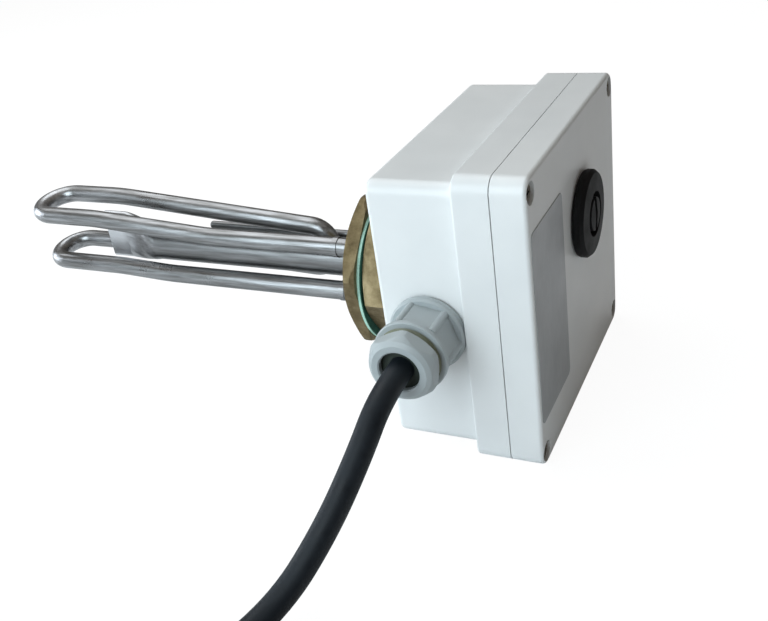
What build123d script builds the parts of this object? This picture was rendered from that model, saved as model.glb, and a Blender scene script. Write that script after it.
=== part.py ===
"""Screw-in immersion heater with a thermostat box, a cable gland and a supply cord.

The origin lies on the screw thread's axis, in the plane where the gasket meets the hexagon head.
+X runs through the box to its lid, -X along the heating element, +Z is up. Millimetres.
"""

import math
import os

from build123d import *

os.makedirs("parts", exist_ok=True)


# Driving dimensions: clearances shared by the whole heater
fit_gap = 0.05  # radial gap of a turned piece in its own hole

# Driving dimensions: screw plug, backnut and gaskets
head_size = 60.0  # across the flats
backnut_size = 64.0
thread_radius = 23.9  # 1 1/2 inch pipe thread, major diameter 47.8
thread_pitch_radius = 23.17  # where the backnut's thread meets the plug's
thread_length = 13.0
thread_chamfer = 1.0
head_thickness = 15.7
head_turn = 4.5  # degrees from the horizontal to the nearest corner
neck_radius = 26.0
neck_length = 5.0
hex_chamfer = 1.6  # along the axis, from the flats' inner circle out to the corners
head_chamfer = 2.4
gasket_thickness = 1.7
gasket_overhang = 2.4  # beyond the head's flats
gasket_drop = 1.8  # the loose gasket hangs on the thread
backnut_thickness = 6.8
backnut_turn = 46.0
spigot_radius = 22.5
box_seal_thickness = 2.0
box_seal_radius = 28.0
washer_thickness = 1.0
washer_radius = 29.0
locknut_size = 55.0
locknut_thickness = 5.0

# Driving dimensions: box and lid
box_width = 122.0
box_height = 120.0
box_rise = 8.0  # box centre above the thread axis
body_depth = 34.8
collar_depth = 14.0
lid_depth = 13.2
body_inset_y = 3.3
body_inset_z = 4.3
box_wall = 3.0
box_corner = 6.0
cavity_corner = 16.0
rear_rounding = 2.0
lid_rounding = 1.6
lid_gap = 0.4
lid_screw_inset_y = 5.0
lid_screw_inset_z = 6.0
lid_screw_recess = 4.2
lid_screw_recess_depth = 3.4
lid_screw_head = 3.6
lid_screw_head_height = 2.4
lid_screw_chamfer = 0.7
lid_cross_length = 3.8
lid_cross_width = 0.9
lid_cross_depth = 1.4
lid_screw_shank = 1.9
lid_screw_length = 21.0
lid_screw_hole = 13.0  # depth in the collar
seal_width = 2.2
seal_inset = 2.4
seal_depth = 2.5
seal_corner = 20.0

# Driving dimensions: heating element
sheath_radius = 4.3
leg_y = 10.0
far_leg_y = 12.6  # the far legs stand further out, clear of the pocket
far_tip_y = 13.6
leg_z = 11.0
upper_tip_reach = 198.0  # centre line of the upper hairpin's outermost point
lower_tip_reach = 195.0
return_reach = 36.6  # centre line of the bend in front of the plug
return_top = 8.2
return_bottom = -13.0
upper_rise_start = 90.0  # the upper near leg lifts from here
upper_rise_end = 158.0
upper_tip_z = 16.2
upper_far_tip_z = 18.0
lower_rise_start = 118.0
lower_rise_end = 148.0
lower_tip_z = -9.3
lower_far_tip_z = -7.5
leg_bend_radius = 160.0
return_radius = 10.4
cold_end = 37.0
collar_length = 2.5
collar_reach = 22.0
collar_thickness = 0.35
pin_radius = 1.6
pin_length = 10.0
bead_length = 5.0

# Driving dimensions: pockets and their bulbs
well_radius = 8.0
well_wall = 1.0
well_inner_end = 34.0
well_round_end = 127.0
well_flat_start = 147.5
well_tip = 158.8
well_flat_width = 25.0
well_flat_thickness = 3.6
well_flat_rise = 3.5
well_waists = [(132.5, 18.6, 12.6, 0.5), (140.5, 23.4, 6.4, 2.4)]  # reach, width, thickness, rise
bulb_radius = 3.25
bulb_length = 90.0
bulb_reach = 108.0
capillary_radius = 0.8
capillary_turn_x = 42.0
capillary_bend = 4.0
capillary_y = 4.0
capillary_offset = 8.0  # above or below the spindle
limiter_y = 19.5
limiter_z = 2.2
limiter_radius = 2.0
limiter_wall = 0.4
limiter_reach = 110.0
limiter_bulb_radius = 1.5
limiter_bulb_length = 70.0

# Driving dimensions: thermostat and knob
knob_y = 6.5
knob_z = 18.2  # above the box centre
knob_radius = 17.7
knob_height = 4.4
knob_chamfer = 1.2
knob_edge = 0.8
knob_gap = 0.5
knob_groove_outer = 9.2
knob_groove_inner = 7.4
knob_groove_depth = 2.2
knob_slot_width = 2.6
spindle_radius = 3.0
spindle_reach = 3.4  # how far the spindle enters the knob
spindle_depth = 12.0  # how far it enters the thermostat
lid_spindle_hole = 5.0
thermostat_depth = 26.0
thermostat_width = 42.0
thermostat_height = 34.0
bracket_thickness = 1.2
bracket_width = 46.0
bracket_height = 26.0
thermostat_screw_offset = 13.0
thermostat_screw_radius = 1.5
thermostat_screw_length = 5.0

# Driving dimensions: cable gland
gland_x = 42.2
gland_z = 4.5
gland_flange_radius = 15.2
gland_flange = 4.0
gland_body_size = 24.6
gland_body_length = 10.4
gland_body_turn = 50.0
gland_rib = 1.5
gland_rib_reach = 13.2
gland_rim_radius = 14.4
gland_rim = 2.2
gland_thread_radius = 11.8
gland_thread_length = 9.0
gland_gap = 2.4
gland_bore = 8.4
gland_shank_radius = 12.4
gland_shank_length = 10.0
gland_nut_size = 26.4
gland_nut_turn = 24.0
gland_nut_length = 10.4
gland_nut_round = 14.6
gland_nut_hole = 7.9
gland_nut_lip = 2.2
gland_nut_dome = 3.8
gland_locknut_size = 30.0
gland_locknut_thickness = 5.0
gland_ring_thickness = 1.0
gland_fingers = 12
gland_finger_slot = 0.8

# Driving dimensions: supply cord, coil and plug
cord_diameter = 9.5
coil_mean_radius = 50.0
coil_layers = 2
coil_leave_angle = 120.0
floor_z = -52.0
floor_gap = 1.0
tie_width = 12.0
tie_thickness = 0.8
tie_angle = 60.0
tail_run = 21.0
plug_radius = 18.5
plug_face_depth = 20.0
plug_length = 52.0
plug_neck_radius = 8.0
plug_pin_radius = 2.4
plug_pin_length = 19.0
plug_pin_tip = 1.4
plug_pin_spacing = 19.0

# Driving dimensions: wires in the box
wire_radius = 1.2
wire_bend = 2.4
earth_tab_end = -25.0
earth_tab_width = 6.0
earth_screw_y = -14.5
earth_screw_radius = 2.0
earth_screw_head = 3.6
earth_screw_length = 8.0
earth_tag_radius = 4.6
earth_tag_thickness = 0.8

# Places worked out from the sizes above
nut_back = -gasket_thickness - backnut_thickness
gasket_radius = head_size / 2 + gasket_overhang
gasket_hole = thread_pitch_radius + gasket_drop + 0.1
head_back = head_thickness + neck_length
box_rear = head_back + box_seal_thickness
box_inner = box_rear + box_wall
collar_front = box_rear + body_depth + collar_depth - lid_gap / 2
lid_screw_y = box_width / 2 - lid_screw_inset_y
lid_screw_z = box_height / 2 - lid_screw_inset_z
lid_back = collar_front + lid_gap
lid_front = box_rear + body_depth + collar_depth + lid_depth
lid_inner = lid_front - box_wall
body_width = box_width - 2 * body_inset_y
body_height = box_height - 2 * body_inset_z
cavity_width = body_width - 2 * box_wall
cavity_height = body_height - 2 * box_wall
box_side_y = -body_width / 2
cord_radius = cord_diameter / 2
knob_centre_z = box_rise + knob_z
locknut_start = box_inner + washer_thickness
spigot_end = locknut_start + locknut_thickness + 2.0


def across(x):
    """Plane square to the thread axis at x, seen from the lid: its x is +Y and its y is +Z."""
    return Plane(origin=(x, 0, 0), x_dir=(0, 1, 0), z_dir=(1, 0, 0))


def gland_plane(distance):
    """Plane square to the gland's axis, this far outside the box's side wall."""
    return Plane(origin=(gland_x, box_side_y - distance, gland_z), x_dir=(1, 0, 0), z_dir=(0, -1, 0))


def cord_end(point, direction):
    """Plane square to a cord, pipe or lead at the start of its path."""
    return Plane(origin=point, z_dir=direction)


def save(piece, name):
    """Label one finished piece and write its STEP file."""
    piece.part.label = name
    export_step(piece.part, f"parts/{name}.step")


def arc_radii(points, share=0.45):
    """As large an arc as the two runs beside each corner allow."""
    radii = []
    for before, corner, after in zip(points, points[1:], points[2:]):
        arrive = Vector(*corner) - Vector(*before)
        leave = Vector(*after) - Vector(*corner)
        half_turn = math.radians(arrive.get_angle(leave)) / 2
        radii.append(share * min(arrive.length, leave.length) / math.tan(half_turn))
    return radii


def corner_positions():
    """The four lid screws' places on a plane across the axis."""
    return [(sy * lid_screw_y, box_rise + sz * lid_screw_z) for sy in (-1, 1) for sz in (-1, 1)]


# Screw plug: hexagon head, pipe thread, neck and box spigot turned from one brass bar
head_corner = head_size / 2 / math.cos(math.radians(30))
leg_places = [(-leg_y, leg_z), (-leg_y, -leg_z)]
with BuildPart() as screw_plug:
    with BuildSketch(across(0)):
        RegularPolygon(head_size / 2, 6, major_radius=False, rotation=head_turn)
    extrude(amount=head_thickness)
    with BuildSketch(Plane.XY):
        with BuildLine():
            Polyline(
                (0, 0),
                (0, head_size / 2 - 0.3),
                (head_chamfer, head_corner + 0.1),
                (head_thickness, head_corner + 0.1),
                (head_thickness, 0),
                close=True,
            )
        make_face()
    revolve(axis=Axis.X, mode=Mode.INTERSECT)
    with BuildSketch(across(nut_back)):
        Circle(thread_pitch_radius)
    extrude(amount=-nut_back)
    with BuildSketch(across(-thread_length)):
        Circle(thread_radius)
    extrude(amount=thread_length + nut_back)
    chamfer(screw_plug.faces().sort_by(Axis.X)[0].edges(), thread_chamfer)
    with BuildSketch(across(head_thickness)):
        Circle(neck_radius)
    extrude(amount=neck_length)
    with BuildSketch(across(head_back)):
        Circle(spigot_radius)
    extrude(amount=spigot_end - head_back)
    with BuildSketch(across(-thread_length)):
        with Locations(*leg_places):
            Circle(sheath_radius + fit_gap)
        Circle(well_radius + fit_gap)
        with Locations((limiter_y, limiter_z)):
            Circle(limiter_radius + fit_gap)
    extrude(amount=thread_length + spigot_end, mode=Mode.SUBTRACT)
    with BuildSketch(across(spigot_end)):
        with Locations((earth_screw_y, 0)):
            Circle(earth_screw_radius + fit_gap)
    extrude(amount=-earth_screw_length - 1, mode=Mode.SUBTRACT)
save(screw_plug, "screw_plug")

with BuildPart() as fibre_gasket:
    with BuildSketch(across(-gasket_thickness)):
        with Locations((0, -gasket_drop)):
            Circle(gasket_radius)
            Circle(gasket_hole, mode=Mode.SUBTRACT)
    extrude(amount=gasket_thickness)
save(fibre_gasket, "fibre_gasket")

# Backnut: thin hexagon nut, chamfered on both faces
backnut_corner = backnut_size / 2 / math.cos(math.radians(30))
with BuildPart() as backnut:
    with BuildSketch(across(nut_back)):
        RegularPolygon(backnut_size / 2, 6, major_radius=False, rotation=backnut_turn)
    extrude(amount=backnut_thickness)
    with BuildSketch(Plane.XY):
        with BuildLine():
            Polyline(
                (nut_back, 0),
                (nut_back, backnut_corner - hex_chamfer),
                (nut_back + hex_chamfer / 2, backnut_corner + 0.1),
                (-gasket_thickness - hex_chamfer, backnut_corner + 0.1),
                (-gasket_thickness, backnut_size / 2 - 0.3),
                (-gasket_thickness, 0),
                close=True,
            )
        make_face()
    revolve(axis=Axis.X, mode=Mode.INTERSECT)
    with BuildSketch(across(nut_back)):
        Circle(thread_pitch_radius + fit_gap)
    extrude(amount=backnut_thickness, mode=Mode.SUBTRACT)
save(backnut, "backnut")

with BuildPart() as box_seal:
    with BuildSketch(across(head_back)):
        Circle(box_seal_radius)
        Circle(spigot_radius + fit_gap, mode=Mode.SUBTRACT)
    extrude(amount=box_seal_thickness)
save(box_seal, "box_seal")

with BuildPart() as spigot_washer:
    with BuildSketch(across(box_inner)):
        Circle(washer_radius)
        Circle(spigot_radius + fit_gap, mode=Mode.SUBTRACT)
    extrude(amount=washer_thickness)
save(spigot_washer, "spigot_washer")

with BuildPart() as spigot_nut:
    with BuildSketch(across(locknut_start)):
        RegularPolygon(locknut_size / 2, 6, major_radius=False)
        Circle(spigot_radius + fit_gap, mode=Mode.SUBTRACT)
    extrude(amount=locknut_thickness)
save(spigot_nut, "spigot_nut")

# Rear box: a shallow body with a wider collar, its corners left solid for the lid screws
with BuildPart() as rear_box:
    with BuildSketch(across(box_rear)):
        with Locations((0, box_rise)):
            RectangleRounded(body_width, body_height, box_corner - 1)
    extrude(amount=body_depth)
    fillet(rear_box.faces().sort_by(Axis.X)[0].edges(), rear_rounding)
    with BuildSketch(across(box_rear + body_depth)):
        with Locations((0, box_rise)):
            RectangleRounded(box_width, box_height, box_corner)
    extrude(amount=collar_front - box_rear - body_depth)
    step_edges = rear_box.faces().filter_by(Axis.X).sort_by(Axis.X)[1].outer_wire().edges()
    fillet(step_edges, 0.8)
    with BuildSketch(across(box_inner)):
        with Locations((0, box_rise)):
            RectangleRounded(cavity_width, cavity_height, cavity_corner)
    extrude(amount=collar_front - box_inner, mode=Mode.SUBTRACT)
    with BuildSketch(across(collar_front)):
        with Locations((0, box_rise)):
            RectangleRounded(box_width - 2 * seal_inset, box_height - 2 * seal_inset, seal_corner)
            RectangleRounded(
                box_width - 2 * seal_inset - 2 * seal_width,
                box_height - 2 * seal_inset - 2 * seal_width,
                seal_corner - seal_width,
                mode=Mode.SUBTRACT,
            )
    extrude(amount=-seal_depth, mode=Mode.SUBTRACT)
    with BuildSketch(across(collar_front)):
        with Locations(*corner_positions()):
            Circle(lid_screw_shank + fit_gap)
    extrude(amount=-lid_screw_hole, mode=Mode.SUBTRACT)
    with BuildSketch(across(box_rear)):
        Circle(spigot_radius + fit_gap)
    extrude(amount=box_wall, mode=Mode.SUBTRACT)
    with BuildSketch(gland_plane(0)):
        Circle(gland_shank_radius + fit_gap)
    extrude(amount=-box_wall, mode=Mode.SUBTRACT)
save(rear_box, "rear_box")

with BuildPart() as lid_seal:
    with BuildSketch(across(collar_front - seal_depth)):
        with Locations((0, box_rise)):
            RectangleRounded(box_width - 2 * seal_inset, box_height - 2 * seal_inset, seal_corner)
            RectangleRounded(
                box_width - 2 * seal_inset - 2 * seal_width,
                box_height - 2 * seal_inset - 2 * seal_width,
                seal_corner - seal_width,
                mode=Mode.SUBTRACT,
            )
    extrude(amount=seal_depth + lid_gap)
save(lid_seal, "lid_seal")

# Lid: hollow cover with four screw recesses and the thermostat's spindle hole
thermostat_screws_at = [
    (knob_y - thermostat_screw_offset, knob_centre_z),
    (knob_y + thermostat_screw_offset, knob_centre_z),
]
with BuildPart() as lid:
    with BuildSketch(across(lid_back)):
        with Locations((0, box_rise)):
            RectangleRounded(box_width, box_height, box_corner)
    extrude(amount=lid_front - lid_back)
    fillet(lid.faces().sort_by(Axis.X)[-1].edges(), lid_rounding)
    with BuildSketch(across(lid_back)):
        with Locations((0, box_rise)):
            RectangleRounded(cavity_width, cavity_height, cavity_corner)
    extrude(amount=lid_inner - lid_back, mode=Mode.SUBTRACT)
    with BuildSketch(across(lid_front)):
        with Locations(*corner_positions()):
            Circle(lid_screw_recess)
    extrude(amount=-lid_screw_recess_depth, mode=Mode.SUBTRACT)
    with BuildSketch(across(lid_front)):
        with Locations(*corner_positions()):
            Circle(lid_screw_shank + 2 * fit_gap)
        with Locations((knob_y, knob_centre_z)):
            Circle(lid_spindle_hole)
        with Locations(*thermostat_screws_at):
            Circle(thermostat_screw_radius + fit_gap)
    extrude(amount=lid_back - lid_front, mode=Mode.SUBTRACT)
save(lid, "lid")

# Lid screws: round heads with a cross recess, one group of four
screw_seat = lid_front - lid_screw_recess_depth
with BuildPart() as lid_screws:
    with BuildSketch(across(screw_seat)):
        with Locations(*corner_positions()):
            Circle(lid_screw_head)
    extrude(amount=lid_screw_head_height)
    chamfer(lid_screws.faces().group_by(Axis.X)[-1].edges(), lid_screw_chamfer)
    with BuildSketch(across(screw_seat)):
        with Locations(*corner_positions()):
            Circle(lid_screw_shank)
    extrude(amount=-lid_screw_length)
    with BuildSketch(across(screw_seat + lid_screw_head_height)):
        with Locations(*corner_positions()):
            Rectangle(lid_cross_length, lid_cross_width)
            Rectangle(lid_cross_width, lid_cross_length)
    extrude(amount=-lid_cross_depth, mode=Mode.SUBTRACT)
save(lid_screws, "lid_screws")

# Heating element: one tube folded into two hairpins that share a return bend in front of the plug
element_points = [
    (cold_end, -leg_y, leg_z),
    (-upper_rise_start, -leg_y, leg_z),
    (-upper_rise_end, -leg_y, upper_tip_z),
    (-upper_tip_reach, -leg_y, upper_tip_z),
    (-upper_tip_reach, far_tip_y, upper_far_tip_z),
    (-upper_rise_end, far_tip_y, upper_far_tip_z),
    (-return_reach, far_leg_y, return_top),
    (-return_reach, far_leg_y, return_bottom),
    (-lower_rise_end, far_leg_y, lower_far_tip_z),
    (-lower_tip_reach, far_leg_y, lower_far_tip_z),
    (-lower_tip_reach, -leg_y, lower_tip_z),
    (-lower_rise_end, -leg_y, lower_tip_z),
    (-lower_rise_start, -leg_y, -leg_z),
    (cold_end, -leg_y, -leg_z),
]
upper_tip_radius = (leg_y + far_tip_y) / 2 - 0.15
lower_tip_radius = (leg_y + far_leg_y) / 2 - 0.15
element_radii = [
    leg_bend_radius,
    leg_bend_radius,
    upper_tip_radius,
    upper_tip_radius,
    leg_bend_radius,
    return_radius,
    return_radius,
    leg_bend_radius,
    lower_tip_radius,
    lower_tip_radius,
    leg_bend_radius,
    leg_bend_radius,
]
with BuildPart() as heating_element:
    with BuildLine() as element_path:
        FilletPolyline(*element_points, radius=element_radii)
    with BuildSketch(cord_end(element_points[0], (-1, 0, 0))):
        Circle(sheath_radius)
    sweep()
save(heating_element, "heating_element")

with BuildPart() as sheath_collars:
    with BuildSketch(across(-collar_reach)):
        with Locations(*leg_places):
            Circle(sheath_radius + collar_thickness)
        with Locations(*leg_places):
            Circle(sheath_radius + fit_gap, mode=Mode.SUBTRACT)
    extrude(amount=collar_length)
save(sheath_collars, "sheath_collars")

with BuildPart() as insulating_beads:
    with BuildSketch(across(cold_end)):
        with Locations(*leg_places):
            Circle(sheath_radius - 0.5)
        with Locations(*leg_places):
            Circle(pin_radius + fit_gap, mode=Mode.SUBTRACT)
    extrude(amount=bead_length)
save(insulating_beads, "insulating_beads")

with BuildPart() as terminal_pins:
    with BuildSketch(across(cold_end)):
        with Locations(*leg_places):
            Circle(pin_radius)
    extrude(amount=pin_length)
save(terminal_pins, "terminal_pins")

# Thermostat pocket: a tube through the plug whose far end is pressed flat and sealed
with BuildPart() as thermostat_pocket:
    with BuildSketch(across(well_inner_end)):
        Circle(well_radius)
    extrude(amount=-well_inner_end - well_round_end)
    with BuildSketch(across(-well_round_end)):
        Circle(well_radius)
    for reach, width, thickness, rise in well_waists:
        with BuildSketch(across(-reach)):
            with Locations((0, rise)):
                SlotOverall(width, thickness, rotation=90)
    with BuildSketch(across(-well_flat_start)):
        with Locations((0, well_flat_rise)):
            SlotOverall(well_flat_width, well_flat_thickness, rotation=90)
    loft()
    with BuildSketch(across(-well_flat_start)):
        with Locations((0, well_flat_rise)):
            SlotOverall(well_flat_width, well_flat_thickness, rotation=90)
    extrude(amount=-well_tip + well_flat_start)
    with BuildSketch(across(well_inner_end)):
        Circle(well_radius - well_wall)
    extrude(amount=-well_inner_end - well_round_end + 2, mode=Mode.SUBTRACT)
save(thermostat_pocket, "thermostat_pocket")

bulb_z = -(well_radius - well_wall - bulb_radius - fit_gap)
with BuildPart() as thermostat_bulb:
    with BuildSketch(across(-bulb_reach)):
        with Locations((0, bulb_z)):
            Circle(bulb_radius)
    extrude(amount=bulb_length)
    fillet(thermostat_bulb.faces().sort_by(Axis.X)[0].edges(), bulb_radius * 0.8)
save(thermostat_bulb, "thermostat_bulb")

with BuildPart() as limiter_pocket:
    with BuildSketch(across(well_inner_end)):
        with Locations((limiter_y, limiter_z)):
            Circle(limiter_radius)
    extrude(amount=-well_inner_end - limiter_reach)
    fillet(limiter_pocket.faces().sort_by(Axis.X)[0].edges(), limiter_radius * 0.8)
    with BuildSketch(across(well_inner_end)):
        with Locations((limiter_y, limiter_z)):
            Circle(limiter_radius - limiter_wall)
    extrude(amount=-well_inner_end - limiter_reach + 3, mode=Mode.SUBTRACT)
save(limiter_pocket, "limiter_pocket")

with BuildPart() as limiter_bulb:
    with BuildSketch(across(-limiter_reach + 4)):
        with Locations((limiter_y, limiter_z)):
            Circle(limiter_bulb_radius)
    extrude(amount=limiter_bulb_length)
save(limiter_bulb, "limiter_bulb")

# Thermostat body on its bracket behind the lid, with its spindle through the lid
bracket_back = lid_inner - bracket_thickness
thermostat_back = bracket_back - thermostat_depth
spindle_back = bracket_back - spindle_depth
knob_back = lid_front + knob_gap
with BuildPart() as thermostat_body:
    with BuildSketch(across(thermostat_back)):
        with Locations((knob_y, knob_centre_z)):
            RectangleRounded(thermostat_width, thermostat_height, 2)
    extrude(amount=thermostat_depth)
    with BuildSketch(across(bracket_back)):
        with Locations((knob_y, knob_centre_z)):
            Circle(spindle_radius + fit_gap)
    extrude(amount=-spindle_depth - 1, mode=Mode.SUBTRACT)
    with BuildSketch(across(bracket_back)):
        with Locations(*thermostat_screws_at):
            Circle(thermostat_screw_radius + fit_gap)
    extrude(amount=-thermostat_screw_length, mode=Mode.SUBTRACT)
save(thermostat_body, "thermostat_body")

with BuildPart() as thermostat_bracket:
    with BuildSketch(across(bracket_back)):
        with Locations((knob_y, knob_centre_z)):
            RectangleRounded(bracket_width, bracket_height, 3)
            Circle(spindle_radius + fit_gap, mode=Mode.SUBTRACT)
        with Locations(*thermostat_screws_at):
            Circle(thermostat_screw_radius + fit_gap, mode=Mode.SUBTRACT)
    extrude(amount=bracket_thickness)
save(thermostat_bracket, "thermostat_bracket")

with BuildPart() as thermostat_screws:
    with BuildSketch(across(bracket_back - thermostat_screw_length + 1)):
        with Locations(*thermostat_screws_at):
            Circle(thermostat_screw_radius)
    extrude(amount=lid_front - bracket_back + thermostat_screw_length - 1)
save(thermostat_screws, "thermostat_screws")

with BuildPart() as thermostat_spindle:
    with BuildSketch(across(spindle_back)):
        with Locations((knob_y, knob_centre_z)):
            Circle(spindle_radius)
    extrude(amount=knob_back + spindle_reach - spindle_back)
save(thermostat_spindle, "thermostat_spindle")

# Capillary tubes from the bulbs to the thermostat body
bulb_end = bulb_length - bulb_reach
capillary_points = [
    (bulb_end, 0, bulb_z),
    (capillary_turn_x, 0, bulb_z),
    (capillary_turn_x, capillary_y, knob_centre_z - capillary_offset),
    (thermostat_back, capillary_y, knob_centre_z - capillary_offset),
]
with BuildPart() as capillary:
    with BuildLine():
        FilletPolyline(*capillary_points, radius=capillary_bend)
    with BuildSketch(cord_end(capillary_points[0], (1, 0, 0))):
        Circle(capillary_radius)
    sweep()
save(capillary, "capillary")

limiter_bulb_end = limiter_bulb_length - limiter_reach + 4
limiter_points = [
    (limiter_bulb_end, limiter_y, limiter_z),
    (capillary_turn_x, limiter_y, limiter_z),
    (capillary_turn_x, limiter_y, knob_centre_z + capillary_offset),
    (thermostat_back, limiter_y, knob_centre_z + capillary_offset),
]
with BuildPart() as limiter_capillary:
    with BuildLine():
        FilletPolyline(*limiter_points, radius=capillary_bend)
    with BuildSketch(cord_end(limiter_points[0], (1, 0, 0))):
        Circle(capillary_radius)
    sweep()
save(limiter_capillary, "limiter_capillary")

# Knob: low disc with a grooved hub and a pointer slot across it
with BuildPart() as thermostat_knob:
    with BuildSketch(Plane(origin=(0, knob_y, knob_centre_z))):
        with BuildLine():
            Polyline(
                (knob_back, 0),
                (knob_back, knob_radius - knob_edge / 2),
                (knob_back + knob_edge, knob_radius),
                (knob_back + knob_height - knob_chamfer * 1.2, knob_radius),
                (knob_back + knob_height, knob_radius - knob_chamfer),
                (knob_back + knob_height + 0.5, knob_groove_outer),
                (knob_back + knob_height - knob_groove_depth, knob_groove_outer - 0.4),
                (knob_back + knob_height - knob_groove_depth, knob_groove_inner),
                (knob_back + knob_height + 0.7, knob_groove_inner - 0.6),
                (knob_back + knob_height + 1.2, 0),
                close=True,
            )
        make_face()
    revolve(axis=Axis((0, knob_y, knob_centre_z), (1, 0, 0)))
    with BuildSketch(across(knob_back + knob_height + 2)):
        with Locations((knob_y, knob_centre_z)):
            Rectangle(knob_slot_width, 2 * knob_groove_inner)
    extrude(amount=-2.4, mode=Mode.SUBTRACT)
    with BuildSketch(across(knob_back)):
        with Locations((knob_y, knob_centre_z)):
            Circle(spindle_radius + fit_gap)
    extrude(amount=spindle_reach + fit_gap, mode=Mode.SUBTRACT)
save(thermostat_knob, "thermostat_knob")

# Cable gland: body with flange, ribs and rim; the threaded tube carries the clamping fingers
body_end = gland_flange + gland_body_length
rim_end = body_end + gland_rim
cap_start = rim_end + gland_gap
cap_end = cap_start + gland_nut_length
with BuildPart() as gland_body:
    with BuildSketch(gland_plane(gland_ring_thickness)):
        Circle(gland_flange_radius)
    extrude(amount=gland_flange - gland_ring_thickness)
    fillet(gland_body.faces().sort_by(Axis.Y)[0].edges(), 0.9)
    with BuildSketch(gland_plane(gland_flange)):
        RegularPolygon(gland_body_size / 2, 6, major_radius=False, rotation=gland_body_turn)
    extrude(amount=gland_body_length)
    with BuildSketch(gland_plane(gland_flange)):
        with PolarLocations(gland_rib_reach, 6, start_angle=gland_body_turn):
            Circle(gland_rib)
    extrude(amount=gland_body_length)
    with BuildSketch(gland_plane(body_end)):
        Circle(gland_rim_radius)
    extrude(amount=gland_rim)
    with BuildSketch(gland_plane(rim_end)):
        Circle(gland_thread_radius)
    extrude(amount=gland_thread_length)
    with BuildSketch(gland_plane(gland_ring_thickness)):
        Circle(gland_shank_radius)
    extrude(amount=-gland_shank_length)
    with BuildSketch(gland_plane(gland_ring_thickness - gland_shank_length)):
        Circle(gland_bore)
    extrude(amount=gland_shank_length + rim_end + gland_thread_length, mode=Mode.SUBTRACT)
    with BuildSketch(gland_plane(rim_end + gland_thread_length)):
        with PolarLocations((gland_bore + gland_thread_radius) / 2, gland_fingers):
            Rectangle(gland_thread_radius - gland_bore + 1, gland_finger_slot)
    extrude(amount=-gland_thread_length / 2, mode=Mode.SUBTRACT)
save(gland_body, "gland_body")

with BuildPart() as gland_ring:
    with BuildSketch(gland_plane(0)):
        Circle(gland_flange_radius - 1)
        Circle(gland_shank_radius + fit_gap, mode=Mode.SUBTRACT)
    extrude(amount=gland_ring_thickness)
save(gland_ring, "gland_ring")

with BuildPart() as gland_locknut:
    with BuildSketch(gland_plane(-box_wall - gland_locknut_thickness)):
        RegularPolygon(gland_locknut_size / 2, 6, major_radius=False, rotation=30)
        Circle(gland_shank_radius + fit_gap, mode=Mode.SUBTRACT)
    extrude(amount=gland_locknut_thickness)
save(gland_locknut, "gland_locknut")

# Gland nut: hexagon flats cut from a domed cap
cap_profile_plane = Plane(origin=(gland_x, box_side_y, gland_z), x_dir=(0, -1, 0), z_dir=(0, 0, 1))
gland_axis = Axis((gland_x, box_side_y, gland_z), (0, -1, 0))
with BuildPart() as gland_nut:
    with BuildSketch(gland_plane(cap_start)):
        RegularPolygon(gland_nut_size / 2, 6, major_radius=False, rotation=gland_nut_turn)
    extrude(amount=gland_nut_length)
    with BuildSketch(cap_profile_plane):
        with BuildLine():
            Polyline(
                (cap_start, 0),
                (cap_start, gland_nut_round - 0.6),
                (cap_start + 0.6, gland_nut_round),
                (cap_end - 1.2 * gland_nut_dome, gland_nut_round),
                (cap_end - gland_nut_dome / 3, gland_nut_round - gland_nut_dome / 2),
                (cap_end, gland_nut_round - gland_nut_dome),
                (cap_end, 0),
                close=True,
            )
        make_face()
    revolve(axis=gland_axis, mode=Mode.INTERSECT)
    with BuildSketch(gland_plane(cap_start)):
        Circle(gland_thread_radius + fit_gap)
    extrude(amount=gland_nut_length - gland_nut_lip, mode=Mode.SUBTRACT)
    with BuildSketch(gland_plane(cap_start)):
        Circle(gland_nut_hole)
    extrude(amount=gland_nut_length, mode=Mode.SUBTRACT)
save(gland_nut, "gland_nut")

# Rubber insert inside the gland: it grips the cable and stops just behind the nut's lip
insert_end = cap_end - gland_nut_lip - 0.4
insert_start = rim_end
with BuildPart() as gland_insert:
    with BuildSketch(gland_plane(insert_start)):
        Circle(gland_bore - fit_gap)
        Circle(cord_radius + fit_gap, mode=Mode.SUBTRACT)
    extrude(amount=rim_end + gland_thread_length - insert_start)
    with BuildSketch(gland_plane(rim_end + gland_thread_length)):
        Circle(gland_thread_radius - 1)
        Circle(cord_radius + fit_gap, mode=Mode.SUBTRACT)
    extrude(amount=insert_end - rim_end - gland_thread_length)
save(gland_insert, "gland_insert")

# Cable inside the gland, stripped back inside the box
strip_point = gland_ring_thickness - gland_shank_length - 3
with BuildPart() as cable_entry:
    with BuildSketch(gland_plane(strip_point)):
        Circle(cord_radius)
    extrude(amount=insert_end - strip_point)
save(cable_entry, "cable_entry")

# Supply cord: from the gland down to the floor, then to its coil
cord_z = floor_z + cord_radius + floor_gap
cord_points = [
    (gland_x, box_side_y - insert_end, gland_z),
    (gland_x, -103, gland_z),
    (40.2, -120, -8),
    (34.7, -140, -25),
    (25.7, -162, -41),
    (11.7, -190, cord_z),
    (-1, -217, cord_z),
]
cord_radii = arc_radii(cord_points)
print("supply cord radii", [round(r, 1) for r in cord_radii])
with BuildPart() as supply_cord:
    with BuildLine() as cord_path:
        FilletPolyline(*cord_points, radius=cord_radii)
    with BuildSketch(cord_end(cord_points[0], (0, -1, 0))):
        Circle(cord_radius)
    sweep()
cord_length = cord_path.wires()[0].length
print("supply cord length", round(cord_length, 1), "volume ratio", supply_cord.part.volume / cord_length)
save(supply_cord, "supply_cord")

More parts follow.
